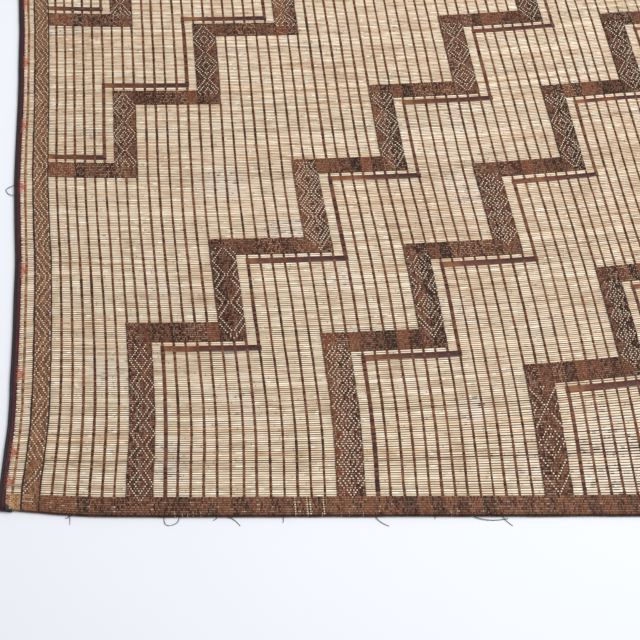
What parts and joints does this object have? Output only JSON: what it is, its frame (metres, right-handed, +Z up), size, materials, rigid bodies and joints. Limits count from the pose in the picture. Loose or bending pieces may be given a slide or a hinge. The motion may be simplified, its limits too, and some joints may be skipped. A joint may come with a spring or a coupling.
{
  "type": "reed and leather rug",
  "caption": "Flat floor mat of reeds held by leather thongs, with woven leather end bands, guard bands and stepped diamond bands, and rolled leather side bindings.",
  "frame": {"origin": "middle of the mat's box in plan, on the underside that rests on the floor", "axes": "+X along the reeds, +Y along the leather thongs from the front edge to the back edge, +Z up from the floor"},
  "size_m": [1.7134, 2.6738, 0.0075],
  "materials": {
    "reed": "dry split-smooth reed stems, cream to tan, with small dark specks",
    "woven_leather": "worn reddish brown goat leather strands woven over the reeds, with cream dots",
    "dark_leather": "matt dark brown leather strip",
    "ochre_leather": "ochre brown woven leather",
    "black_leather": "rolled near-black leather with a soft sheen",
    "red_leather": "thin dark red leather lace",
    "edge_cord": "dark twisted yarn"
  },
  "bodies": {
    "root": {"binding_left": "black_leather", "binding_right": "black_leather", "corner_patch_back_left": "ochre_leather", "corner_patch_back_right": "ochre_leather", "corner_patch_front_left": "ochre_leather", "corner_patch_front_right": "ochre_leather", "corner_wrap_back_left": "black_leather", "corner_wrap_back_right": "black_leather", "corner_wrap_front_left": "black_leather", "corner_wrap_front_right": "black_leather", "edge_cord_back": "edge_cord", "edge_cord_front": "edge_cord", "end_band_back": "woven_leather", "end_band_front": "woven_leather", "guard_band_left": "woven_leather", "guard_band_right": "woven_leather", "lacing_left": "red_leather", "lacing_right": "red_leather", "reed_field": "reed", "stair_band_back_1": "woven_leather", "stair_band_back_2": "woven_leather", "stair_band_back_3": "woven_leather", "stair_band_back_4": "woven_leather", "stair_band_back_5": "woven_leather", "stair_band_front_1": "woven_leather", "stair_band_front_2": "woven_leather", "stair_band_front_3": "woven_leather", "stair_band_front_4": "woven_leather", "stair_band_front_5": "woven_leather", "step_line_back_1": "dark_leather", "step_line_back_2": "dark_leather", "step_line_back_3": "dark_leather", "step_line_back_4": "dark_leather", "step_line_back_5": "dark_leather", "step_line_front_1": "dark_leather", "step_line_front_2": "dark_leather", "step_line_front_3": "dark_leather", "step_line_front_4": "dark_leather", "step_line_front_5": "dark_leather"}
  },
  "joints": []
}
